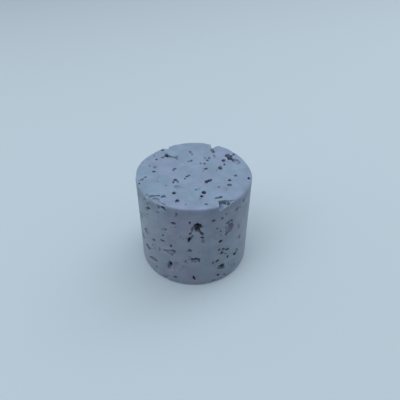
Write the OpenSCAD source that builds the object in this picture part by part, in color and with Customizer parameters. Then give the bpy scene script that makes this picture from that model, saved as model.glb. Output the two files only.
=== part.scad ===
// Perfume bottle cap. A cylinder ground from porous travertine has a blind bore in its foot,
// and a moulded insert glued into that bore grips the collar of the bottle's spray pump.
//
// The origin is the centre of the foot, on the cap's axis. +Z is up and -Y is the front.
// Lengths are in millimetres. A turn is an angle about the axis, in degrees from the front,
// and it grows to the right.

/* [Stone] */
// Outside diameter of the stone
body_d = 30; // [28:0.5:36]
// Height of the stone, from its foot to its flat top
body_h = 26.8; // [25:0.1:34]
// Radius that eases the top edge
top_edge_r = 0.5; // [0.3:0.1:1]
// Chamfer round the foot
foot_chamfer = 0.4; // [0.2:0.1:0.8]
// Chamfer at the mouth of the bore
mouth_chamfer = 0.4; // [0.2:0.1:0.8]

/* [Pump] */
// Outside diameter of the pump's collar, where the insert grips it
collar_d = 17.8; // [16:0.1:19]
// Length of collar that the insert takes in
collar_l = 10.5; // [8:0.5:12]
// Diameter of the well that clears the spray head
well_d = 14.4; // [13:0.1:15]
// Length of the well above the collar
well_l = 8.8; // [7:0.2:10]

/* [Insert] */
// Wall of the moulding, the same all over
insert_wall = 1.2; // [0.9:0.1:1.4]
// How far the insert's mouth sits inside the foot
insert_recess = 0.4; // [0.2:0.1:1]
// Gap between the insert's closed end and the end of the bore in the stone
end_gap = 0.3; // [0.1:0.1:1]
// Chamfer that leads the collar in
lead_in = 0.6; // [0.3:0.1:0.9]
// Number of flutes that let the air out as the cap goes on
flute_count = 8; // [4:1:8]
// Width of each flute
flute_w = 1.2; // [0.8:0.1:1.4]
// Depth of each flute
flute_depth = 0.4; // [0.2:0.05:0.5]
// How far below the shoulder each flute stops
flute_stop = 0.5; // [0.3:0.1:1]
// Number of fins that centre the insert's narrow end
fin_count = 6; // [4:1:8]
// Thickness of each fin
fin_t = 1; // [0.6:0.1:1.6]
// Number of glue grooves round the insert's wide end
groove_count = 3; // [2:1:4]
// Width of each glue groove
groove_w = 1; // [0.6:0.1:1.4]
// Depth of each glue groove
groove_depth = 0.3; // [0.1:0.05:0.5]

/* [Voids] */
// Size of the voids and chips, against those in the tables
void_size = 1; // [0.8:0.05:1.2]
// How uneven a void's outline is
void_rough = 0.25; // [0:0.05:0.3]
// Number of voids scattered over the back of the wall
back_count = 44; // [20:1:60]
// Seed of that scatter
back_seed = 11; // [1:1:99]
// Number of voids scattered over the foot
foot_count = 9; // [4:1:14]
// Seed of that scatter
foot_seed = 5; // [1:1:99]

/* [Hidden] */
$fn = 72;
overrun = 1;     // how far a cutting tool reaches past the face that it cuts
chip_lift = 0.2; // how far above the top the middle of each chip lies
table_r = 15;    // radius of the stone that the tables of voids and chips are made for

body_r = body_d / 2;
land_r = collar_d / 2;
bore_r = land_r + insert_wall;
well_r = well_d / 2;
narrow_r = well_r + insert_wall;
shoulder_z = insert_recess + collar_l;
step_z = shoulder_z + insert_wall;
well_end_z = shoulder_z + well_l;
insert_end_z = well_end_z + insert_wall;
bore_depth = insert_end_z + end_gap;
void_unit = void_size * body_r / table_r;

// The rings of a void, from its mouth down: depth as a share of the void's, and breadth as a
// share of its mouth's. The first ring stands proud of the face by void_lip.
void_rings = [[0, 0.9], [0.45, 1.08], [0.85, 0.7]];
void_lip = 0.35;

// Section of a ledge broken off the top edge, as shares of its reach and of its drop: an inner
// wall, then a floor that falls outwards and runs on past the stone.
ledge_wall = 0.6;
ledge_over = 0.4;
ledge_section = [
    [-1, ledge_over],
    [-1, -ledge_wall],
    [ledge_over, -1 - (1 - ledge_wall) * ledge_over],
    [ledge_over, ledge_over]
];

// How much of a ledge's drop is left at its thin end.
ledge_fade = 0.1;

// Voids in the top face. Each row: place across and away, as a percentage of the radius;
// width, length and depth; lean.
TOP_VOIDS = [
    [-49,  51, 1.8, 1.5, 1.9,   0], [-50,  56, 0.9, 1.2, 1.5,   0],
    [-56,  47, 1.3, 0.7, 1.1,  10], [-42,  49, 1.4, 0.7, 0.9,  -8],
    [-36,  48, 1.0, 0.5, 0.5,   0], [-33,  46, 0.9, 0.9, 0.9,   0],
    [-30,  50, 0.5, 0.7, 0.6, -40], [-30,  42, 0.6, 0.8, 0.7,  25],
    [-67,  40, 0.7, 0.9, 0.9,   0], [-59,  71, 1.1, 0.9, 1.3,   0],
    [ -7,  65, 0.7, 1.2, 1.0,   0], [ -4,  59, 0.4, 1.2, 0.5,  30],
    [ -8,  34, 1.2, 0.7, 1.1,  15], [ -4,  37, 0.6, 0.7, 0.7,   0],
    [ 35,  67, 0.9, 1.8, 1.7,  15], [ 37,  51, 0.5, 1.7, 0.7,  12],
    [ 28,  45, 0.6, 1.1, 0.9,   0], [ 24,  38, 0.7, 0.8, 0.8,   0],
    [ 20,  46, 0.6, 0.8, 0.5, -20], [ 19,  27, 0.6, 0.9, 0.7,   0],
    [ 12,  28, 0.5, 0.8, 0.6,   0], [ 61,  52, 1.6, 1.5, 2.1,   0],
    [ 64,  44, 1.5, 1.7, 2.1,  20], [ 68,  51, 0.8, 1.1, 1.6,   0],
    [ 73,  57, 0.8, 1.0, 1.3,   0], [ 74,  36, 1.6, 2.0, 1.1,  25],
    [ 78,  29, 1.5, 1.4, 0.8,   0], [ 71,  38, 0.9, 1.2, 1.5,   0],
    [ 53,  37, 1.1, 1.3, 1.7,   0], [ 54,  24, 0.6, 1.0, 1.1,   0],
    [ 46,  13, 1.0, 1.5, 1.8,   0], [ 21,  11, 1.3, 0.7, 1.1,  30],
    [-33,  11, 1.1, 0.7, 1.1,  10], [-36,   6, 0.5, 1.2, 0.7,   0],
    [-68,  16, 1.3, 1.0, 0.5,   0], [-69,   3, 1.2, 0.8, 1.2,   0],
    [-88, -21, 1.5, 0.6, 1.0,  50], [-82, -13, 1.1, 0.5, 0.5,  50],
    [-91, -31, 0.5, 0.8, 0.7,  15], [-60, -27, 0.6, 0.8, 0.9,   0],
    [-46, -38, 0.5, 0.9, 0.9,   0], [-31, -22, 1.1, 0.9, 1.3,   0],
    [-34, -28, 0.5, 1.1, 0.8,   0], [-27, -27, 0.6, 0.9, 0.9,  20],
    [-28, -41, 1.6, 1.1, 0.5,   0], [-32, -57, 1.0, 1.2, 1.6,   0],
    [-12, -12, 0.7, 0.7, 1.0,   0], [ -8,  -9, 0.6, 0.7, 0.9,   0],
    [-15, -18, 0.5, 0.7, 0.7,   0], [ 21, -27, 1.0, 1.4, 2.0, -10],
    [ 26, -24, 1.2, 1.1, 1.8,  30], [ 60, -22, 1.0, 1.1, 1.7,   0],
    [ 71, -10, 0.7, 1.2, 1.2, -20], [ 59, -36, 1.3, 0.9, 1.4,   0],
    [ 92, -17, 0.5, 1.2, 1.1,   0], [ 41, -42, 0.5, 1.0, 0.9,   0],
    [ 51, -47, 1.1, 0.9, 0.4,  20], [  4, -49, 0.7, 0.9, 0.9, -20],
    [  9, -47, 0.5, 0.7, 0.7,   0], [ 16, -56, 1.2, 1.3, 1.8,   0],
    [ 12, -66, 0.9, 1.0, 1.4,   0], [-26, -77, 1.1, 1.5, 1.8,  15],
    [ 19, -86, 0.9, 0.6, 0.6,   0], [ 38, -69, 0.9, 0.8, 1.2,   0],
    [ 42, -67, 0.9, 0.5, 0.8,  10], [-67, -64, 2.1, 0.7, 1.1,   0],
    [-57, -64, 1.2, 0.5, 0.7,   0], [-48, -67, 1.1, 1.0, 1.6,   0],
    [-60, -72, 1.7, 0.7, 1.1, -10], [-71, -71, 0.7, 0.9, 1.0,   0],
    [ 48, -79, 0.8, 0.8, 1.8,   0], [ 55, -79, 1.1, 0.8, 2.0,   0]
];

// Voids in the wall. Each row: turn; rise above the foot, as a percentage of the height;
// width, height and depth; lean.
WALL_VOIDS = [
    [3.5, 80.0, 2.1, 2.2, 3.4,   0], [3.5, 75.5, 1.3, 1.1, 1.9,   0],
    [ -2, 77.5, 0.5, 1.9, 0.9, -20], [  7, 72.0, 0.7, 2.2, 1.2,  35],
    [  8, 66.0, 1.1, 0.9, 1.3,   0], [  9, 61.5, 0.8, 1.4, 0.5,  10],
    [ -4, 71.5, 0.7, 1.1, 1.1, -20], [ -3, 66.5, 1.0, 1.7, 1.6, -30],
    [ -5, 62.5, 0.6, 1.4, 1.1, -10], [ -4, 85.0, 0.5, 1.1, 0.9,   0],
    [ -4, 50.5, 1.1, 0.6, 0.9,   0], [ -6, 49.0, 0.5, 0.7, 0.7, -20],
    [ -3, 49.0, 0.5, 0.7, 0.7,  20], [ -2, 37.5, 1.4, 1.1, 2.1,   0],
    [  3, 37.0, 1.9, 0.9, 1.9,   0], [ -2, 34.5, 0.5, 1.0, 0.7,   0],
    [  1, 34.5, 0.5, 1.0, 0.7,   0], [  5, 34.5, 0.5, 1.1, 0.8,   0],
    [ -8, 34.5, 0.6, 0.8, 0.7,   0], [  0, 10.0, 0.7, 1.7, 1.5,  15],
    [ 18, 85.0, 0.8, 0.8, 1.1,   0], [ 27, 84.5, 0.7, 0.8, 0.9,   0],
    [ 22, 74.5, 0.6, 0.6, 0.7,   0], [ 27, 56.5, 1.1, 1.1, 1.7,   0],
    [ 36, 69.5, 2.7, 3.3, 1.1,   0], [ 33, 70.5, 0.9, 2.2, 1.9,   0],
    [ 32, 63.0, 0.9, 1.1, 1.1,   0], [ 33, 77.0, 1.2, 0.6, 1.0,  20],
    [ 26, 45.0, 0.8, 0.7, 1.0,   0], [ 30, 43.5, 1.0, 1.0, 1.4,   0],
    [ 28, 38.5, 1.2, 1.0, 1.5,   0], [ 35, 41.0, 1.3, 1.0, 1.4,   0],
    [ 20, 29.5, 0.6, 1.0, 1.0,   0], [ 24, 30.0, 1.0, 1.0, 1.5,   0],
    [ 36, 30.0, 0.7, 1.2, 1.0,   0], [ 48, 28.5, 1.9, 2.0, 1.0,   0],
    [ 45, 29.0, 0.8, 1.4, 1.6,   0], [ 52, 46.0, 1.5, 1.2, 0.7,   0],
    [ 50, 61.0, 1.3, 0.9, 0.7, -30], [ 27, 20.0, 1.4, 1.3, 1.9,   0],
    [ 30, 20.0, 1.4, 2.1, 2.5,   0], [ 32, 17.0, 1.0, 1.3, 1.9,   0],
    [ 25,  8.5, 0.8, 1.0, 1.3,   0], [ 47, 10.0, 1.2, 1.2, 0.5,   0],
    [ 31, 89.0, 0.9, 0.9, 0.9,   0], [ 44, 87.5, 0.9, 1.2, 1.0,   0],
    [ 54, 91.5, 0.9, 1.2, 1.0,   0], [-19, 82.0, 1.1, 0.8, 1.4,  10],
    [-16, 92.5, 0.5, 1.8, 0.5,   0], [-28, 71.0, 0.8, 0.8, 0.8,   0],
    [-31, 61.5, 0.6, 1.0, 0.9,   0], [-32, 54.5, 1.1, 0.8, 0.9,   0],
    [-23, 51.5, 0.7, 1.4, 1.2,   5], [-20, 45.0, 1.1, 1.2, 1.9,   0],
    [-26, 43.5, 3.0, 0.7, 1.2,  15], [-24, 41.0, 1.8, 1.4, 0.7,   0],
    [-44, 48.5, 1.3, 0.7, 1.2,  30], [-47, 39.0, 0.6, 1.1, 0.8,   0],
    [-36, 40.5, 0.6, 1.3, 0.8,   0], [-57, 51.0, 1.9, 2.4, 1.1, -30],
    [-57, 71.0, 1.4, 0.9, 0.7,   0], [-69, 86.0, 1.5, 1.9, 0.9,   0],
    [-57, 29.0, 2.2, 1.6, 2.3,   0], [-46, 19.5, 2.1, 1.1, 2.1,  15],
    [-51, 17.0, 2.0, 0.8, 1.3,  25], [-25, 28.5, 1.0, 0.9, 1.8,   0],
    [-26, 23.0, 1.1, 1.5, 1.9,   0], [-20, 25.0, 3.9, 2.2, 0.9,   0],
    [-14, 25.5, 2.3, 1.3, 0.7, -20], [-20,  8.0, 1.0, 1.2, 1.0,   0],
    [-42,  9.5, 1.7, 1.3, 0.5,   0], [-68, 36.0, 2.2, 1.7, 1.1,   0],
    [-30, 95.0, 1.6, 1.0, 1.6,   0], [-37, 93.0, 1.6, 0.9, 1.4,  10],
    [-42, 90.0, 1.4, 0.7, 1.0,  30], [-46, 88.0, 2.0, 1.0, 1.5,  35],
    [-51, 84.0, 1.6, 1.0, 1.5,  35], [-31,  3.0, 0.9, 0.9, 0.7,   0]
];

// Scoops out of the top edge. Each row: turn; length along the edge, drop and reach inwards;
// lean.
RIM_SCOOPS = [
    [ 157, 2.0, 1.6, 1.5,   8], [ 159, 1.1, 2.2, 3.0,   5],
    [ 165, 2.4, 0.5, 0.7,   0], [-148, 1.8, 1.4, 1.5,  -6],
    [-153, 3.0, 0.6, 0.9, -10], [-138, 4.4, 0.7, 0.6,   7],
    [-126, 4.6, 0.5, 0.5,  -5], [ 114, 3.4, 0.4, 0.4,  -5],
    [ 100, 2.2, 0.5, 0.4,   5], [  90, 1.8, 0.5, 0.5,   0],
    [  79, 1.3, 0.7, 0.6,   0], [ -31, 3.0, 0.7, 0.8,   6],
    [ -40, 3.6, 0.8, 0.9,  -8], [ -50, 3.0, 0.9, 0.9,   5],
    [ -75, 2.6, 0.4, 0.4,   0]
];

// Ledges broken off the top edge, deep at the left and shallow at the right. Each row: turn;
// where the ledge starts, to the right of that turn; length, drop and reach inwards.
RIM_LEDGES = [
    [  8, 4.0, 5.4, 1.7, 2.6]
];

// Points of one void, about the middle of its mouth, with +Z out of the face.
function void_points(wide, tall, deep, sides, seed) =
    let (
        wobble = rands(1 - void_rough, 1 + void_rough, sides * len(void_rings), seed),
        reach = deep * void_unit
    )
    concat(
        [[0, 0, void_lip]],
        [
            for (k = [0 : len(void_rings) - 1], j = [0 : sides - 1])
            let (
                turn = 360 * (j + k / 2) / sides,
                breadth = void_unit * void_rings[k][1] * wobble[k * sides + j] / 2,
                z = k == 0 ? void_lip : -void_rings[k][0] * reach
            )
            [breadth * wide * cos(turn), breadth * tall * sin(turn), z]
        ],
        [[0, 0, -reach]]
    );

// Faces that close those points: a fan over the mouth, bands down the wall, a fan at the end.
function void_faces(sides) =
    let (rings = len(void_rings), last = sides * rings + 1)
    concat(
        [for (j = [0 : sides - 1]) [0, 1 + (j + 1) % sides, 1 + j]],
        [
            for (k = [0 : rings - 2], j = [0 : sides - 1])
            let (a = 1 + k * sides + j, b = 1 + k * sides + (j + 1) % sides)
            each [[a, b, a + sides], [b, b + sides, a + sides]]
        ],
        [for (j = [0 : sides - 1]) [last, last - sides + j, last - sides + (j + 1) % sides]]
    );

// One void. Broad ones have more sides.
module void_lump(wide, tall, deep, seed) {
    sides = max(wide, tall) > 1.4 ? 8 : 6;
    polyhedron(void_points(wide, tall, deep, sides, seed), void_faces(sides));
}

// Points of one ledge: its section at the deep end, then at the shallow end.
function ledge_points(start, long, drop, reach) =
    [
        for (end = [[start, 1], [start + long, ledge_fade]], corner = ledge_section)
        [end[0], end[1] * corner[1] * drop, corner[0] * reach] * void_unit
    ];

module rim_ledge(start, long, drop, reach) {
    polyhedron(
        ledge_points(start, long, drop, reach),
        [[0, 3, 2, 1], [4, 5, 6, 7], [0, 1, 5, 4], [1, 2, 6, 5], [2, 3, 7, 6], [3, 0, 4, 7]]
    );
}

// Puts its children at a turn about the axis and a height, with +Z out of the wall.
module on_wall(turn, z) {
    rotate([0, 0, turn])
        translate([0, -body_r, z])
            rotate([90, 0, 0])
                children();
}

module wall_voids() {
    for (i = [0 : len(WALL_VOIDS) - 1]) {
        v = WALL_VOIDS[i];
        on_wall(v[0], v[1] * body_h / 100)
            rotate(v[5])
                void_lump(v[2], v[3], v[4], i);
    }
}

module top_voids() {
    for (i = [0 : len(TOP_VOIDS) - 1]) {
        v = TOP_VOIDS[i];
        translate([v[0] * body_r / 100, v[1] * body_r / 100, body_h])
            rotate(v[5])
                void_lump(v[2], v[3], v[4], 100 + i);
    }
}

module rim_chips() {
    for (i = [0 : len(RIM_SCOOPS) - 1]) {
        c = RIM_SCOOPS[i];
        on_wall(c[0], body_h + chip_lift)
            rotate(c[4])
                void_lump(c[1], 2 * c[2], c[3], 200 + i);
    }
    for (c = RIM_LEDGES)
        on_wall(c[0], body_h)
            rim_ledge(c[1], c[2], c[3], c[4]);
}

module back_voids() {
    n = back_count;
    turns = rands(64, 296, n, back_seed);
    rises = rands(6, 92, n, back_seed + 1);
    sizes = rands(0, 1, n, back_seed + 2);
    leans = rands(-90, 90, n, back_seed + 3);
    for (i = [0 : n - 1]) {
        wide = 0.7 + 1.8 * pow(sizes[i], 2);
        on_wall(turns[i], rises[i] * body_h / 100)
            rotate(leans[i])
                void_lump(wide, 0.7 * wide, 0.7 * wide, 300 + i);
    }
}

module foot_voids() {
    n = foot_count;
    middle_r = (body_r + bore_r) / 2;
    turns = rands(0, 40, n, foot_seed);
    sizes = rands(0.7, 1.5, n, foot_seed + 1);
    for (i = [0 : n - 1])
        rotate([0, 0, turns[i] + 360 * i / n])
            translate([0, -middle_r, 0])
                rotate([180, 0, 0])
                    void_lump(sizes[i], 1, 0.8 * sizes[i], 400 + i);
}

// Half section of the stone before it is bored.
module stone_section() {
    difference() {
        square([body_r, body_h]);
        translate([body_r - top_edge_r, body_h - top_edge_r])
            difference() {
                square(top_edge_r + overrun);
                circle(top_edge_r);
            }
        polygon([
            [body_r - foot_chamfer, 0],
            [body_r - foot_chamfer - overrun, -overrun],
            [body_r + overrun, -overrun],
            [body_r + overrun, foot_chamfer + overrun],
            [body_r, foot_chamfer]
        ]);
    }
}

module stone_bore() {
    translate([0, 0, -overrun])
        cylinder(r = bore_r, h = bore_depth + overrun);
    translate([0, 0, -overrun])
        cylinder(
            r1 = bore_r + mouth_chamfer + overrun,
            r2 = bore_r,
            h = mouth_chamfer + overrun
        );
}

module stone_body() {
    color("lightslategray")
        difference() {
            rotate_extrude() stone_section();
            stone_bore();
            wall_voids();
            top_voids();
            rim_chips();
            back_voids();
            foot_voids();
        }
}

// Half section of the moulding: a wide skirt, a shoulder, a narrower well and its closed end.
module insert_section() {
    polygon([
        [land_r + lead_in, insert_recess],
        [bore_r, insert_recess],
        [bore_r, step_z],
        [narrow_r, step_z],
        [narrow_r, insert_end_z],
        [0, insert_end_z],
        [0, well_end_z],
        [well_r, well_end_z],
        [well_r, shoulder_z],
        [land_r, shoulder_z],
        [land_r, insert_recess + lead_in]
    ]);
}

// Grooves round the skirt, spaced evenly up its outside.
module glue_grooves() {
    pitch = (step_z - insert_recess) / (groove_count + 1);
    for (i = [1 : groove_count])
        translate([0, 0, insert_recess + i * pitch - groove_w / 2])
            difference() {
                cylinder(r = bore_r + overrun, h = groove_w);
                translate([0, 0, -overrun])
                    cylinder(r = bore_r - groove_depth, h = groove_w + 2 * overrun);
            }
}

// Flutes up the collar's bore, from its mouth to just below the shoulder.
module flutes() {
    for (i = [0 : flute_count - 1])
        rotate([0, 0, 360 * (i + 0.5) / flute_count])
            translate([0, -flute_w / 2, insert_recess - overrun])
                cube([land_r + flute_depth, flute_w, collar_l - flute_stop + overrun]);
}

// Fins from the narrow end's wall out to the bore in the stone.
module fins() {
    intersection() {
        translate([0, 0, step_z])
            cylinder(r = bore_r, h = insert_end_z - step_z);
        for (i = [0 : fin_count - 1])
            rotate([0, 0, 360 * i / fin_count])
                translate([well_r + insert_wall / 2, -fin_t / 2, step_z])
                    cube([bore_r - well_r, fin_t, insert_end_z - step_z]);
    }
}

module collar_insert() {
    color("whitesmoke") {
        difference() {
            rotate_extrude() insert_section();
            glue_grooves();
            flutes();
        }
        fins();
    }
}

stone_body();
collar_insert();
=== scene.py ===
"""A perfume bottle cap of porous travertine, standing on a pale floor.

The stone piece starts from the CAD solid. Finer forms are carved into its voids, whose walls are
made ragged and rough. Small pores and a worn top edge are added, and the result replaces the CAD
node. The moulded insert keeps its CAD form and gets its plastic.

Sizes are in millimetres until a mesh or a material is made, and MM turns them into metres.
"""

import math

import bpy
import numpy as np
import openvdb
from mathutils import Matrix, Vector


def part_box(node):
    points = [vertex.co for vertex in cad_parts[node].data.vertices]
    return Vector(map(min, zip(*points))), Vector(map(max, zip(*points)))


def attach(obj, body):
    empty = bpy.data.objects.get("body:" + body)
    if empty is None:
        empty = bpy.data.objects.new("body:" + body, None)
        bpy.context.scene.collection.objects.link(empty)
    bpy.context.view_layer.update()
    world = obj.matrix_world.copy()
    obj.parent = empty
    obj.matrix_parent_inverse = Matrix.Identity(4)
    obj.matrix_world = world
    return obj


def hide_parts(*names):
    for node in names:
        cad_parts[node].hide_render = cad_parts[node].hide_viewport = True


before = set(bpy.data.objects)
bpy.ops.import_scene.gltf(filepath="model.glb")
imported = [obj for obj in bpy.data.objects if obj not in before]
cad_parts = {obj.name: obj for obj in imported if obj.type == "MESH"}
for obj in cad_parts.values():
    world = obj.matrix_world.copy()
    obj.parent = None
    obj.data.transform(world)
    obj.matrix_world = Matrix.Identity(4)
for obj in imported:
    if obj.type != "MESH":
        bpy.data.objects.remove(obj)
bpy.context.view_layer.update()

MM = 0.001

# The stone's plain form. Its radius, its height and the bore's radius come from the frame.
STONE_LOW, STONE_HIGH = (np.array(corner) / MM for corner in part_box("stone_body"))
STONE_R = float(STONE_HIGH[0])
STONE_H = float(STONE_HIGH[2])
BORE_R = float(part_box("collar_insert")[1][0]) / MM
TOP_EDGE_R = 0.5
FOOT_CHAMFER = 0.4

# The field that the stone is carved in: the size of a voxel, the voxels of air round the stone,
# and the voxels each side of its surface where distances are known.
VOXEL = 0.15
MARGIN = 4
BAND = 22
SEED = 7

# Colours that look right in the photograph's light.
# painted light: the top's colour is bluer than the wall's, as bluer light falling from above
PAINTED_SKYLIGHT_TOP_COLOUR = (0.218, 0.304, 0.438)
# painted shade: the colour that the depths of voids are darkened towards, with some staining
VOID_SHADE_COLOUR = (0.022, 0.040, 0.075)
FLOOR_COLOUR = (0.50, 0.62, 0.72)

# Bowls cut into the top face, in the solid's own voids or beside them. Each row: x and y;
# length, width and depth; lean, which turns the length away from +X in degrees.
TOP_CUTS = [
    (-4.2, -6.1, 1.6, 1.3, 0.4, 0), (-4.6, -3.4, 1.0, 0.6, 0.6, 20),
    (-4.8, -8.6, 1.0, 0.9, 1.0, 40), (-13.4, -3.2, 1.6, 0.4, 0.3, 55),
    (-12.5, -2.1, 1.0, 0.3, 0.3, 40), (-4.0, -11.2, 1.0, 0.5, 0.5, 75),
    (-4.2, -12.6, 1.1, 0.3, 0.3, 85), (-8.2, 7.1, 1.6, 0.5, 1.0, 10),
    (-7.4, 7.7, 1.4, 1.1, 1.0, 0), (-5.9, 7.2, 1.8, 0.3, 0.4, -8),
    (5.7, 7.7, 1.9, 0.4, 0.7, -78), (-0.6, 9.0, 1.6, 0.3, 0.4, -60),
    (11.2, 5.2, 3.0, 1.5, 0.5, -50), (7.5, -7.0, 0.9, 0.3, 0.2, 30),
    (7.9, -7.7, 0.7, 0.3, 0.3, -40), (3.0, 6.4, 0.7, 0.3, 0.4, 60),
    (5.9, 1.0, 0.9, 0.3, 0.3, 80), (2.4, 0.5, 0.8, 0.3, 0.3, 60),
    (-10.3, 2.3, 1.4, 0.5, 0.2, 60), (3.0, -4.3, 0.7, 0.9, 1.3, 60),
    (4.1, -3.4, 1.1, 0.7, 1.0, 50), (9.0, -3.3, 0.9, 0.7, 1.4, 70),
    (5.4, -10.5, 1.2, 0.4, 0.5, 50), (6.4, -10.3, 0.9, 0.3, 0.5, 0),
    (1.6, -10.9, 0.9, 0.4, 0.3, 80), (-2.0, -12.9, 0.8, 0.4, 0.3, 80),
    (-9.1, -10.9, 1.9, 0.5, 0.5, -12), (-9.9, -9.6, 2.0, 0.5, 0.8, 0),
    (5.3, 12.2, 2.4, 0.9, 2.0, 78), (5.0, 10.5, 1.7, 0.8, 0.9, 110),
    (9.8, -11.9, 2.6, 0.9, 1.2, 4), (8.1, -12.3, 1.0, 0.8, 1.4, 0),
    (-12.3, 6.1, 0.6, 0.3, 0.3, 60), (-10.8, 7.9, 0.8, 0.3, 0.4, 80),
    (-11.2, 9.2, 1.1, 0.4, 0.6, 70), (-12.2, 8.3, 1.0, 0.5, 0.7, 50),
    (-13.7, 4.6, 0.9, 0.3, 0.4, 60), (-11.6, 3.1, 0.8, 0.3, 0.3, 0),
    (8.0, 5.5, 1.1, 1.0, 1.5, 80), (2.4, -8.5, 1.1, 1.0, 1.1, 0),
    (13.9, -2.6, 1.3, 0.5, 0.9, 80), (6.9, 2.5, 1.1, 0.5, 0.4, 80),
]

# Bowls of the top face that are filled up before any is cut. Each row is as above.
TOP_FILLS = [
    (4.3, 12.6, 3.2, 1.1, 4.0, 86),
]

# Balls of stone that raise the floor of a void in the top face. Each row: x and y; the ball's
# radius and the depth of its crown.
TOP_FLOORS = [
    (-7.4, 7.7, 1.6, 0.4), (-7.3, -10.0, 1.2, 0.3), (10.6, -1.5, 1.0, 0.4),
    (-1.1, 5.2, 1.0, 0.3), (-1.0, 9.8, 1.0, 0.4), (0.6, -7.4, 0.8, 0.3),
    (1.3, -7.1, 0.8, 0.2), (-6.9, -5.8, 0.8, 0.2), (-9.0, -4.1, 0.8, 0.2),
    (7.6, -7.1, 1.2, 0.1), (-3.9, -11.6, 1.2, 0.35), (-4.1, -12.6, 0.8, 0.2),
    (7.0, -12.3, 1.2, 0.9), (8.6, -12.0, 0.9, 1.0), (9.5, 6.3, 0.9, 0.5),
    (-4.7, -3.5, 1.1, 0.3), (13.9, -2.6, 0.9, 0.4), (11.5, 5.0, 1.8, 0.4),
    (-9.0, -10.9, 1.4, 0.3), (6.2, -6.2, 0.8, 0.3), (8.9, -5.4, 1.0, 0.4),
    (-13.3, -3.2, 1.0, 0.3), (-5.3, 1.0, 0.8, 0.3),
]

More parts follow.
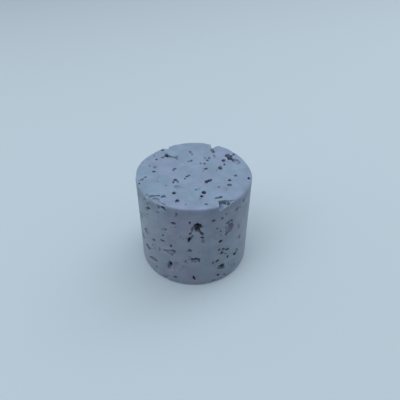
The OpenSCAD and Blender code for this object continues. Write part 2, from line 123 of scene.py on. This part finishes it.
# Bowls cut into the wall. Each row: turn from the front towards +X, in degrees, and height;
# length, width and depth; lean, which turns the length away from level.
WALL_CUTS = [
    # the deep void high in the front, and its legs
    (3.2, 21.5, 2.1, 2.0, 2.8, 0), (6.8, 21.3, 1.2, 0.8, 1.4, -10),
    (2.9, 20.3, 1.2, 1.0, 1.6, 0), (2.0, 22.0, 1.2, 0.7, 1.4, 0),
    (2.3, 20.1, 0.9, 0.5, 0.9, 85), (-1.5, 20.4, 1.6, 0.5, 0.5, 75),
    (7.2, 19.3, 1.6, 0.4, 0.7, -50), (-3.0, 17.7, 1.2, 0.7, 0.7, 60),
    (8.5, 16.5, 1.8, 0.6, 0.4, -65), (-6.3, 17.4, 0.7, 0.3, 0.3, 90),
    # the slot below it, and the small pits of the front
    (-4.0, 13.7, 0.9, 0.3, 0.6, 0), (-5.3, 13.2, 0.5, 0.3, 0.4, 60),
    (1.0, 10.1, 2.8, 1.1, 2.4, -4), (3.8, 9.8, 1.2, 0.9, 2.0, 0),
    (-4.2, 11.0, 0.5, 0.4, 0.4, 0), (-6.0, 9.9, 0.7, 0.3, 0.4, 40),
    (-8.7, 9.1, 0.8, 0.3, 0.6, 90), (-6.7, 8.6, 0.5, 0.3, 0.4, 0),
    (4.8, 12.7, 0.6, 0.3, 0.4, 90), (-0.4, 3.5, 1.0, 0.3, 0.5, 110),
    (11.6, 7.6, 0.5, 0.3, 0.3, 0), (13.4, 7.0, 0.5, 0.3, 0.3, 0),
    (10.5, 7.1, 0.4, 0.3, 0.3, 0),
    # left of the front
    (-12.8, 17.6, 0.7, 0.3, 0.4, 90), (-10.2, 17.1, 0.5, 0.3, 0.3, 0),
    (-19.4, 21.9, 1.1, 0.9, 1.6, 30), (-17.6, 20.8, 0.8, 0.4, 0.3, 20),
    (-20.9, 12.0, 1.5, 1.5, 2.8, 0), (-24.5, 12.0, 1.5, 0.4, 0.6, 0),
    (-29.0, 11.6, 2.0, 0.4, 0.6, 20), (-22.0, 10.6, 1.1, 0.3, 0.4, 85),
    (-25.0, 7.6, 0.7, 0.6, 0.5, 0), (-25.6, 6.2, 0.9, 0.8, 1.4, 0),
    (-26.3, 5.0, 1.3, 0.8, 0.8, -60), (-18.5, 8.0, 2.6, 0.6, 0.8, 5),
    (-12.5, 7.4, 2.0, 0.6, 0.7, -25), (-19.5, 6.3, 5.0, 3.0, 0.8, -5),
    (-57.0, 7.8, 2.9, 1.9, 2.8, 10), (-46.5, 5.2, 2.9, 1.4, 2.6, 20),
    (-51.0, 4.7, 2.0, 1.0, 1.6, 30), (-35.4, 11.1, 0.8, 0.3, 0.4, 80),
    (-44.0, 9.6, 1.4, 0.4, 0.3, 80), (-49.2, 8.8, 0.9, 0.3, 0.3, 60),
    (-43.0, 2.9, 1.6, 0.3, 0.3, 45), (-38.8, 2.4, 1.5, 0.4, 0.4, 85),
    (-29.5, 1.2, 1.4, 0.4, 0.4, 50), (-31.4, 18.4, 1.4, 0.3, 0.3, 85),
    (-31.0, 17.3, 1.0, 0.4, 0.4, 40), (-22.5, 17.2, 1.4, 0.5, 0.2, 45),
    # further left, and under the left of the rim
    (-58.0, 19.0, 1.8, 0.7, 0.5, 30), (-38.0, 25.0, 1.7, 0.7, 0.8, 30),
    (-47.0, 24.3, 1.8, 0.5, 0.3, 35), (-50.8, 22.5, 1.6, 0.6, 0.8, 50),
    (-50.0, 21.9, 1.0, 0.4, 0.5, 45), (-53.6, 25.1, 1.4, 0.4, 0.5, 45),
    (-46.5, 26.3, 1.6, 0.5, 0.5, 60), (-50.0, 20.8, 1.3, 0.4, 0.3, 40),
    (-36.0, 23.7, 1.7, 0.4, 0.3, 15), (-41.0, 25.9, 1.4, 0.4, 0.4, 50),
    (-29.0, 25.4, 1.5, 0.8, 0.9, -20), (-34.0, 25.5, 4.0, 1.3, 0.4, 15),
    (-45.0, 24.6, 4.4, 1.5, 0.5, 30),
    # right of the front
    (25.8, 18.6, 0.7, 0.3, 0.4, -20), (26.4, 17.0, 2.4, 0.2, 0.3, -85),
    (21.2, 16.7, 2.2, 0.3, 0.3, -60), (32.4, 19.0, 1.5, 0.5, 1.2, 65),
    (31.2, 18.0, 0.7, 0.4, 0.9, 60), (34.2, 17.5, 1.2, 0.4, 0.7, -40),
    (32.6, 20.4, 1.2, 0.4, 0.7, -35), (37.5, 20.6, 1.6, 0.4, 0.4, -35),
    (49.3, 17.3, 1.5, 0.3, 0.4, -35), (27.6, 25.0, 1.4, 0.4, 0.5, -55),
    (48.5, 23.2, 1.5, 0.3, 0.3, -45), (30.4, 11.7, 0.7, 0.6, 0.9, 0),
    (29.0, 11.1, 0.8, 0.4, 0.7, 45), (27.4, 10.3, 0.8, 0.6, 0.9, 0),
    (37.0, 10.6, 1.4, 0.3, 0.6, -50), (33.2, 9.7, 1.7, 0.3, 0.4, -35),
    (32.2, 11.1, 1.0, 0.3, 0.5, -40), (52.5, 12.5, 1.3, 0.3, 0.5, -45),
    (44.6, 7.6, 1.5, 0.4, 0.6, -70), (28.3, 5.3, 2.2, 1.8, 1.5, -15),
    (25.2, 5.2, 1.0, 0.8, 1.3, 0), (26.5, 15.1, 1.0, 1.0, 1.1, 0),
    (31.2, 5.0, 1.9, 0.6, 1.5, -75), (40.3, 3.8, 1.2, 0.3, 0.3, -50),
    (44.3, 2.4, 1.4, 0.3, 0.4, -65), (33.5, 1.4, 1.2, 0.4, 0.4, -60),
    (20.4, 0.7, 1.4, 0.5, 0.5, 0),
]

# Balls of stone that raise the floor of a void in the wall. Each row: turn and height; the
# ball's radius and the depth of its crown.
WALL_FLOORS = [
    (-46.0, 23.7, 2.2, 0.15), (-38.0, 25.0, 1.0, 1.2), (45.0, 7.7, 1.4, 0.4),
    (49.0, 7.7, 1.6, 0.4), (18.0, 22.8, 0.9, 0.3), (50.0, 16.3, 1.2, 0.3),
    (31.0, 23.9, 1.0, 0.4), (43.5, 23.5, 1.0, 0.3), (-36.0, 10.8, 1.0, 0.2),
    (-31.0, 1.0, 1.2, 0.3), (20.0, 7.9, 0.9, 0.3), (36.0, 8.1, 0.9, 0.3),
    (36.0, 19.0, 0.8, 0.5), (-3.6, 17.6, 0.9, 0.6), (-24.6, 7.6, 0.8, 0.5),
    (52.0, 12.3, 1.2, 0.3), (-8.5, 9.2, 0.8, 0.3), (-32.0, 14.6, 0.9, 0.4),
]

# Where the top edge is worn rounder. Each row: turn, spread in degrees and added radius.
WORN_EDGE = [
    (60, 14, 0.6), (108, 20, 0.7), (-44, 14, 0.6), (-132, 14, 0.6),
]


def put(name, data):
    """A new object in the scene."""
    obj = bpy.data.objects.new(name, data)
    bpy.context.collection.objects.link(obj)
    return obj


# ---------------------------------------------------------------- fields

def smoothstep(low, high, x):
    """0 below low, 1 above high, and smooth between."""
    t = np.clip((x - low) / (high - low), 0, 1)
    return t * t * (3 - 2 * t)


def spline_weights(place, count):
    """Cubic B-spline weights of lattice points 0 to count - 1 at each place."""
    distance = np.abs(place[:, None] + 1 - np.arange(count)[None, :])
    near = 2 / 3 - distance ** 2 + distance ** 3 / 2
    far = np.clip(2 - distance, 0, None) ** 3 / 6
    return np.where(distance < 1, near, far).astype(np.float32)


def blurred(values, reach):
    """Mean of values over a cube that reaches that many voxels each way."""
    edge = reach + 1
    values = np.pad(values, edge)
    for axis in range(3):
        total = np.cumsum(values, axis=axis, dtype=np.float32)
        ahead = np.roll(total, -reach, axis)
        behind = np.roll(total, edge, axis)
        values = (ahead - behind) / (2 * reach + 1)
    return values[edge:-edge, edge:-edge, edge:-edge]


class Field:
    """A block of voxels round the stone, with the coordinates of its points in millimetres."""

    def __init__(self, low, high, voxel, margin):
        self.voxel = voxel
        self.first = np.floor(low / voxel).astype(int) - margin
        last = np.ceil(high / voxel).astype(int) + margin
        self.shape = tuple(last - self.first + 1)
        axes = [(self.first[i] + np.arange(self.shape[i])) * voxel for i in range(3)]
        self.axes = [axis.astype(np.float32) for axis in axes]
        self.x = self.axes[0][:, None, None]
        self.y = self.axes[1][None, :, None]
        self.z = self.axes[2][None, None, :]
        self.r = np.hypot(self.x, self.y)

    def from_mesh(self, obj, band):
        """Signed distance to a closed mesh, negative inside."""
        mesh = obj.data
        mesh.calc_loop_triangles()
        points = np.empty(len(mesh.vertices) * 3, np.float32)
        mesh.vertices.foreach_get("co", points)
        triangles = np.empty(len(mesh.loop_triangles) * 3, np.int32)
        mesh.loop_triangles.foreach_get("vertices", triangles)
        grid = openvdb.FloatGrid.createLevelSetFromPolygons(
            points.reshape(-1, 3) / np.float32(MM),
            triangles=triangles.reshape(-1, 3).astype(np.uint32),
            transform=openvdb.createLinearTransform(voxelSize=self.voxel),
            halfWidth=band,
        )
        values = np.zeros(self.shape, np.float32)
        grid.copyToArray(values, ijk=tuple(int(i) for i in self.first))
        return values

    def to_mesh(self, values, name, adaptivity):
        """A mesh of the surface where values is 0, and its points in millimetres."""
        grid = openvdb.FloatGrid(float(values.max()))
        grid.copyFromArray(values, ijk=tuple(int(i) for i in self.first))
        grid.transform = openvdb.createLinearTransform(voxelSize=self.voxel)
        points, triangles, quads = grid.convertToPolygons(0, adaptivity)
        mesh = bpy.data.meshes.new(name)
        mesh.from_pydata((points * MM).tolist(), [], triangles.tolist() + quads.tolist())
        mesh.validate()
        return mesh, points

    def noise(self, spacing, rng):
        """Smooth noise of unit spread whose features are about spacing millimetres apart."""
        weights = []
        for axis in self.axes:
            place = (axis - axis[0]) / spacing
            weights.append(spline_weights(place, int(place[-1]) + 4))
        counts = [axis_weights.shape[1] for axis_weights in weights]
        values = rng.standard_normal(counts).astype(np.float32)
        for axis_weights in weights:
            values = np.tensordot(values, axis_weights, axes=(0, 1))
        return values / values.std()

    def fractal(self, spacing, octaves, rng, gain=0.5):
        """Octaves of noise, each with half the spacing of the one before."""
        total = np.zeros(self.shape, np.float32)
        for k in range(octaves):
            total += gain ** k * self.noise(spacing / 2 ** k, rng)
        return total / total.std()

    def window(self, centre, reach):
        """Slices of the block that hold every point within reach of a place."""
        low = ((centre - reach) / self.voxel - self.first).astype(int)
        high = ((centre + reach) / self.voxel - self.first).astype(int) + 2
        return tuple(slice(max(a, 0), b) for a, b in zip(low, high))

    def bowl(self, centre, along, outward, size):
        """A window, and in it the depth inside a bowl of the given length, width and depth."""
        half = np.array((size[0] / 2, size[1] / 2, size[2]))
        part = self.window(centre, half.max() + 2 * self.voxel)
        x, y, z = (axis[span] - c for axis, span, c in zip(self.axes, part, centre))
        total = 0
        for way, reach in zip((along, np.cross(outward, along), outward), half):
            place = way[0] * x[:, None, None] + way[1] * y[:, None] + way[2] * z
            total = total + (place / reach) ** 2
        return part, (1 - np.sqrt(total)) * half.min()

    def sample(self, values, x, y, z):
        """values at places given in millimetres, by linear interpolation."""
        cell, part = [], []
        for place, first, count in zip((x, y, z), self.first, self.shape):
            at = np.clip(place / self.voxel - first, 0, count - 1.001)
            low = at.astype(np.int32)
            cell.append(low)
            part.append((at - low).astype(np.float32))
        (i, j, k), (u, v, w) = cell, part
        total = 0
        for a, wa in ((0, 1 - u), (1, u)):
            for b, wb in ((0, 1 - v), (1, v)):
                for c, wc in ((0, 1 - w), (1, w)):
                    total = total + wa * wb * wc * values[i + a, j + b, k + c]
        return total


# ---------------------------------------------------------------- stone

def plain_form(f, edge_r=TOP_EDGE_R):
    """Signed distance to the stone before it is bored or has any void."""
    across = f.r - (STONE_R - edge_r)
    above = f.z - (STONE_H - edge_r)
    corner = np.hypot(np.maximum(across, 0), np.maximum(above, 0))
    top = corner + np.minimum(np.maximum(across, above), 0) - edge_r
    chamfer = (f.r - STONE_R - f.z + FOOT_CHAMFER) / math.sqrt(2)
    return np.maximum(np.maximum(top, -f.z), chamfer)


def on_top(x, y, lean):
    """Centre, length and outward directions of a form in the top face."""
    lean = math.radians(lean)
    along = np.array((math.cos(lean), math.sin(lean), 0))
    return np.array((x, y, STONE_H)), along, np.array((0, 0, 1))


def on_wall(turn, z, lean):
    """The same for a form in the wall."""
    turn, lean = math.radians(turn), math.radians(lean)
    level = np.array((math.cos(turn), math.sin(turn), 0))
    outward = np.array((math.sin(turn), -math.cos(turn), 0))
    along = level * math.cos(lean) + np.array((0, 0, math.sin(lean)))
    return outward * STONE_R + (0, 0, z), along, outward


def carve_fine_forms(f, solid):
    """Fills, cuts and then raises floors in the solid, by the tables."""
    for x, y, *size, lean in TOP_FILLS:
        part, bowl = f.bowl(*on_top(x, y, lean), size)
        solid[part] = np.minimum(solid[part], -bowl)

    cuts = [(on_top(x, y, lean), size) for x, y, *size, lean in TOP_CUTS]
    cuts += [(on_wall(turn, z, lean), size) for turn, z, *size, lean in WALL_CUTS]
    for place, size in cuts:
        part, bowl = f.bowl(*place, size)
        solid[part] = np.maximum(solid[part], bowl)

    floors = [(on_top(x, y, 0), size) for x, y, *size in TOP_FLOORS]
    floors += [(on_wall(turn, z, 0), size) for turn, z, *size in WALL_FLOORS]
    for (centre, along, outward), (radius, depth) in floors:
        centre = centre - outward * (radius + depth)
        part, ball = f.bowl(centre, along, outward, (2 * radius, 2 * radius, radius))
        solid[part] = np.minimum(solid[part], -ball)


def with_ragged_voids(f, solid, plain, rng):
    """The solid with its voids' outlines pushed to and fro along the ground faces."""
    push = 0.07
    spacing = 0.8
    fade = (0.3, 2.0)
    skin_depth = 3.2
    skin_height = 0.3
    bore_guard = 0.6
    skin = (plain > -skin_depth) & (plain < skin_height) & (f.r > BORE_R + bore_guard)
    x, y, z = (np.broadcast_to(c, f.shape)[skin] for c in (f.x, f.y, f.z))
    r = np.broadcast_to(f.r, f.shape)[skin]
    turn, out, up = (push * f.fractal(spacing, 3, rng, gain=0.6)[skin] for _ in range(3))

    # a push across a ground face fades away near it
    out *= smoothstep(*fade, STONE_R - r)
    up *= smoothstep(*fade, np.minimum(STONE_H - z, z))
    ux, uy = x / r, y / r
    warped = f.sample(solid, x + out * ux - turn * uy, y + out * uy + turn * ux, z + up)
    result = solid.copy()
    result[skin] = np.maximum(warped, plain[skin])
    return result


def share_outside_bore(f):
    """1 where the stone may be roughened or pored, and 0 round the bore that holds the insert."""
    beside = smoothstep(BORE_R + 0.3, BORE_R + 1.0, np.broadcast_to(f.r, f.shape))
    above = smoothstep(STONE_H - 4.0, STONE_H - 3.0, np.broadcast_to(f.z, f.shape))
    return np.maximum(beside, above)


def with_rough_walls(f, solid, plain, outside, rng):
    """The solid with rough walls in its voids, and the ground faces between them as they were."""
    roughness = 0.08
    bias = 0.4
    inside = smoothstep(0.05, 0.5, solid - plain) * outside
    return solid + roughness * inside * (f.fractal(0.6, 2, rng) + bias)


def with_small_pores(f, solid, plain, outside, rng):
    """The solid with small pores in patches, fewer and finer on the top and the front."""
    patchiness = 0.45
    rarer_inside = 0.9
    pore_depth = 0.3
    patch = f.fractal(6.0, 2, rng)
    back = smoothstep(0, 8, np.broadcast_to(f.y, f.shape)) * (f.z < STONE_H - 1)

    # each kind of pore: its spacing, how rare it is at the back, and how much rarer elsewhere
    for spacing, rarity, rarer in ((0.85, 2.9, 3.0), (0.5, 3.0, 0.9)):
        level = rarity + rarer * (1 - back)
        level = level - patchiness * patch + rarer_inside * smoothstep(0.2, 1.2, -plain)
        pore = pore_depth * (f.noise(spacing, rng) - level)
        solid = np.where(outside > 0.5, np.maximum(solid, pore), solid)
    return solid


def with_worn_top_edge(f, solid, rng):
    """The solid with its top edge rounded by the table and nibbled at random."""
    turn = np.degrees(np.arctan2(f.x, -f.y))
    edge_r = TOP_EDGE_R
    for middle, spread, added in WORN_EDGE:
        away = (turn - middle + 180) % 360 - 180
        edge_r = edge_r + added * np.exp(-(away / spread) ** 2)

    nibble_depth = 0.12
    nibble_reach = 0.9
    nibble_rarity = 0.3
    near = np.exp(-(((f.r - STONE_R) ** 2 + (f.z - STONE_H) ** 2) / nibble_reach ** 2))
    nibbles = np.clip(f.fractal(2.2, 3, rng) - nibble_rarity, 0, None)
    return np.maximum(solid, plain_form(f, edge_r) + nibble_depth * near * nibbles)


def stone_field():
    """The block of voxels, the finished stone in it and the plain form."""
    rng = np.random.default_rng(SEED)
    f = Field(STONE_LOW, STONE_HIGH, VOXEL, MARGIN)
    solid = f.from_mesh(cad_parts["stone_body"], BAND)
    plain = plain_form(f)
    outside = share_outside_bore(f)
    carve_fine_forms(f, solid)
    solid = with_ragged_voids(f, solid, plain, rng)
    solid = with_rough_walls(f, solid, plain, outside, rng)
    solid = with_small_pores(f, solid, plain, outside, rng)
    solid = with_worn_top_edge(f, solid, rng)
    return f, solid.astype(np.float32), plain


def enclosure(f, solid, plain):
    """The share of stone within a millimetre: a half on a flat face and more down a void, with a
    little added deep under the plain form."""
    reach = 1.0
    # the added share makes the painted shade in deep voids darker
    added = 0.12
    stone = np.clip(0.5 - solid / VOXEL, 0, 1)
    return blurred(stone, round(reach / VOXEL)) + added * smoothstep(0.4, 1.8, -plain)


def stone_piece():
    """The finished stone, with smooth normals and how enclosed each of its points is."""
    f, solid, plain = stone_field()
    mesh, points = f.to_mesh(solid, "stone", adaptivity=0.02)
    x, y, z = points.T

    # the material paints shade in the voids and a highlight on the rims from this share
    cavity = mesh.attributes.new("cavity", "FLOAT", "POINT")
    share = f.sample(enclosure(f, solid, plain), x, y, z)
    cavity.data.foreach_set("value", share.astype(np.float32))

    # the field's own slope gives smoother normals than the mesh does
    normals = np.stack([f.sample(slope, x, y, z) for slope in np.gradient(solid)], 1)
    normals /= np.linalg.norm(normals, axis=1)[:, None] + 1e-9
    mesh.shade_smooth()
    mesh.normals_split_custom_set_from_vertices(normals.tolist())
    return put("stone", mesh)


# ---------------------------------------------------------------- materials

class Look:
    """A material, and short ways to add the nodes that feed its shader."""

    def __init__(self, name):
        self.material = bpy.data.materials.new(name)
        self.material.use_nodes = True
        self.nodes = self.material.node_tree.nodes
        self.links = self.material.node_tree.links
        self.shader = self.nodes["Principled BSDF"]
        coordinates = self.nodes.new("ShaderNodeTexCoord")
        self.place = coordinates.outputs["Object"]
        self.normal = coordinates.outputs["Normal"]

    def feed(self, socket, value):
        """Links another socket, or sets a constant."""
        if isinstance(value, bpy.types.NodeSocket):
            self.links.new(value, socket)
        else:
            socket.default_value = value

    def shade(self, **inputs):
        """Feeds the shader's inputs, whose names are written with _ for a space."""
        for name, value in inputs.items():
            self.feed(self.shader.inputs[name.replace("_", " ")], value)

    def attribute(self, name):
        """A value that the mesh holds for each of its points."""
        node = self.nodes.new("ShaderNodeAttribute")
        node.attribute_name = name
        return node.outputs["Fac"]

    def share(self, vector, axis, low, high):
        """A vector's part along an axis, as a share of the way from low to high."""
        apart = self.nodes.new("ShaderNodeSeparateXYZ")
        self.feed(apart.inputs["Vector"], vector)
        node = self.nodes.new("ShaderNodeMapRange")
        self.feed(node.inputs["Value"], apart.outputs[axis])
        self.feed(node.inputs["From Min"], low)
        self.feed(node.inputs["From Max"], high)
        return node.outputs["Result"]

    def noise(self, scale, detail, distortion=0):
        """Noise from 0 to 1, with about scale features to the metre."""
        node = self.nodes.new("ShaderNodeTexNoise")
        self.feed(node.inputs["Vector"], self.place)
        self.feed(node.inputs["Scale"], scale)
        self.feed(node.inputs["Detail"], detail)
        self.feed(node.inputs["Distortion"], distortion)
        return node.outputs["Fac"]

    def ramp(self, value, *stops):
        """Colours, or levels of grey, that follow a value."""
        node = self.nodes.new("ShaderNodeValToRGB")
        self.feed(node.inputs["Fac"], value)
        while len(node.color_ramp.elements) < len(stops):
            node.color_ramp.elements.new(0.5)
        for element, (at, colour) in zip(node.color_ramp.elements, stops):
            if not isinstance(colour, tuple):
                colour = (colour, colour, colour)
            element.position = at
            element.color = (*colour, 1)
        return node.outputs["Color"]

    def mix(self, kind, amount, a, b):
        """Two colours mixed or multiplied. Sockets 0, 6 and 7 are a colour mix's own."""
        node = self.nodes.new("ShaderNodeMix")
        node.data_type = "RGBA"
        node.blend_type = kind
        for socket, value in zip((node.inputs[0], node.inputs[6], node.inputs[7]), (amount, a, b)):
            self.feed(socket, value)
        return node.outputs[2]

    def bump(self, height, strength, distance):
        """Fine relief, whose height is distance millimetres."""
        node = self.nodes.new("ShaderNodeBump")
        self.feed(node.inputs["Height"], height)
        self.feed(node.inputs["Strength"], strength)
        self.feed(node.inputs["Distance"], distance * MM)
        self.shade(Normal=node.outputs["Normal"])


def stone_ground(look):
    """Colour of the ground faces, with painted light in it. What faces up near the top is painted
    bluer than the wall, as bluer light from above. The wall is painted paler towards its sides, as
    side light, and darker under the rim, as painted shade; it is also a little darker towards the
    bottom."""
    stone_r, stone_h = STONE_R * MM, STONE_H * MM
    rise = look.share(look.place, "Z", 0, stone_h)
    # painted shade: both ramps darken the wall under the rim, and a little towards the bottom
    front = look.ramp(
        rise, (0.10, (0.206, 0.250, 0.325)), (0.55, (0.220, 0.266, 0.342)),
        (0.85, (0.210, 0.256, 0.335)), (0.965, (0.186, 0.232, 0.314)),
    )
    # painted light: the wall's sides are painted paler, as light from the left and the right
    painted_sidelit_wall = look.ramp(
        rise, (0.10, (0.257, 0.313, 0.388)), (0.55, (0.275, 0.334, 0.408)),
        (0.85, (0.262, 0.320, 0.400)), (0.965, (0.232, 0.290, 0.375)),
    )
    beside = look.share(look.place, "Y", -0.95 * stone_r, -0.45 * stone_r)
    wall = look.mix("MIX", beside, front, painted_sidelit_wall)
    # painted light: what faces up near the top takes the bluer top colour
    faces_up = look.share(look.normal, "Z", 0.45, 0.85)
    painted_skylit_upper = look.mix("MIX", faces_up, wall, (*PAINTED_SKYLIGHT_TOP_COLOUR, 1))
    near_top = look.share(look.place, "Z", 0.86 * stone_h, 0.92 * stone_h)
    return look.mix("MIX", near_top, wall, painted_skylit_upper)


def stone_material():
    """Ground travertine, mottled and grained, with rims made paler by wear and a painted
    highlight, and voids darkened by painted shade and some staining.
    """
    look = Look("porous_stone")
    cavity = look.attribute("cavity")
    tints = look.ramp(
        look.noise(110, 3, distortion=1.5), (0.35, (1.04, 0.98, 1.03)), (0.65, (0.95, 1.02, 0.99))
    )
    clouds = look.ramp(look.noise(350, 5), (0.3, 0.90), (0.7, 1.10))
    grain = look.ramp(look.noise(1500, 4), (0.3, 0.96), (0.7, 1.04))
    # convex rims are paler: partly wear, partly a painted highlight
    worn_and_highlit_rims = look.ramp(cavity, (0.22, 1.10), (0.40, 1.0))
    colour = stone_ground(look)
    for layer in (tints, clouds, grain, worn_and_highlit_rims):
        colour = look.mix("MULTIPLY", 1.0, colour, layer)

    # the depths of voids are darkened with painted shade, and some staining
    void_shade = look.ramp(cavity, (0.64, 0.0), (0.90, 0.9))
    colour = look.mix("MIX", void_shade, colour, (*VOID_SHADE_COLOUR, 1))
    look.shade(Base_Color=colour, Roughness=0.85, Specular_IOR_Level=0.3)
    look.bump(look.noise(2500, 4), strength=0.15, distance=0.1)
    return look.material


def insert_material():
    """Natural polypropylene, with the faint bloom and the fine texture that its mould leaves."""
    look = Look("moulded_insert")
    bloom = look.ramp(
        look.noise(240, 4, distortion=0.6), (0.35, (0.68, 0.70, 0.70)), (0.65, (0.75, 0.76, 0.74))
    )
    polish = look.ramp(look.noise(900, 5), (0.3, 0.34), (0.7, 0.50))
    look.shade(Base_Color=bloom, Roughness=polish, Specular_IOR_Level=0.45)
    look.bump(look.noise(5000, 2), strength=0.1, distance=0.05)
    return look.material


# ---------------------------------------------------------------- stage

def floor():
    half = 0.6
    corners = [(-half, -half, 0), (half, -half, 0), (half, half, 0), (-half, half, 0)]
    mesh = bpy.data.meshes.new("floor")
    mesh.from_pydata(corners, [], [(0, 1, 2, 3)])
    look = Look("pale_floor")
    look.shade(Base_Color=(*FLOOR_COLOUR, 1), Roughness=0.8)
    mesh.materials.append(look.material)
    put("floor", mesh)


def lamp(name, place, size, energy):
    """A rectangular lamp that looks at the origin."""
    data = bpy.data.lights.new(name, "AREA")
    data.shape = "RECTANGLE"
    data.size, data.size_y = size
    data.energy = energy
    obj = put(name, data)
    obj.location = place
    obj.rotation_euler = (-obj.location).to_track_quat("-Z", "Y").to_euler()


def lights():
    world = bpy.data.worlds.new("sky")
    bpy.context.scene.world = world
    world.use_nodes = True
    background = world.node_tree.nodes["Background"]
    background.inputs["Color"].default_value = (1, 1, 1, 1)
    background.inputs["Strength"].default_value = 0.45
    lamp("overhead", (-0.03, 0.04, 0.45), (1.6, 0.3), 2.25)
    lamp("left", (-0.40, 0.05, 0.16), (0.4, 0.3), 0.11)
    lamp("right", (0.40, 0.05, 0.16), (0.4, 0.3), 0.17)


def camera():
    """The photograph's view: a camera above the front that looks down at the cap."""
    place = (0, -0.0845, 0.0864)
    yaw, pitch, roll = (math.radians(a) for a in (1.10, 39.17, 0.49))
    ahead = Vector(
        (math.sin(yaw) * math.cos(pitch), math.cos(yaw) * math.cos(pitch), -math.sin(pitch))
    )
    level = ahead.cross(Vector((0, 0, 1))).normalized()
    upward = level.cross(ahead)
    right = level * math.cos(roll) + upward * math.sin(roll)
    up = upward * math.cos(roll) - level * math.sin(roll)
    data = bpy.data.cameras.new("camera")
    data.lens = 36
    data.sensor_width = 36
    data.clip_start = 0.001
    obj = put("camera", data)
    turn = Matrix((right, up, -ahead)).transposed()
    obj.matrix_world = Matrix.Translation(place) @ turn.to_4x4()
    bpy.context.scene.camera = obj


# ---------------------------------------------------------------- scene

stone = stone_piece()
stone.data.materials.append(stone_material())
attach(stone, "root")
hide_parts("stone_body")

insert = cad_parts["collar_insert"]
insert.data.materials.clear()
insert.data.materials.append(insert_material())

floor()
lights()
camera()
bpy.context.scene.view_settings.view_transform = "Standard"
